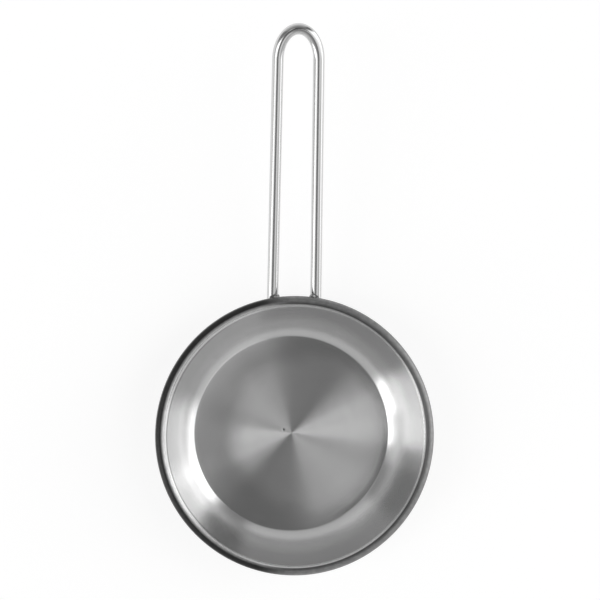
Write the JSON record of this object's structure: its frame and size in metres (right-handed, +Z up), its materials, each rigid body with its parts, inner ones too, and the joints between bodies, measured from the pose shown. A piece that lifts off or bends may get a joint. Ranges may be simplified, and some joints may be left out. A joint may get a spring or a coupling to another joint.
{
  "type": "frying pan",
  "caption": "Small shallow round steel pan with a turned floor, a rolled rim and a long looped wire handle welded under the rim.",
  "frame": {"origin": "centre of the pan's flat underside", "axes": "+Z up, out of the pan; +Y along the handle, away from the pan; +X to the right, seen from above with the handle pointing away"},
  "size_m": [0.13, 0.2544, 0.0486],
  "materials": {
    "pan_steel": "turned floor, brushed wall, satin bead",
    "wire_steel": "polished wire",
    "weld_steel": "as welded, dull"
  },
  "bodies": {
    "root": {"pan_body": "pan_steel", "handle_wire": "wire_steel", "weld_upper_left": "weld_steel", "weld_upper_right": "weld_steel", "weld_lower_left": "weld_steel", "weld_lower_right": "weld_steel"}
  },
  "joints": []
}
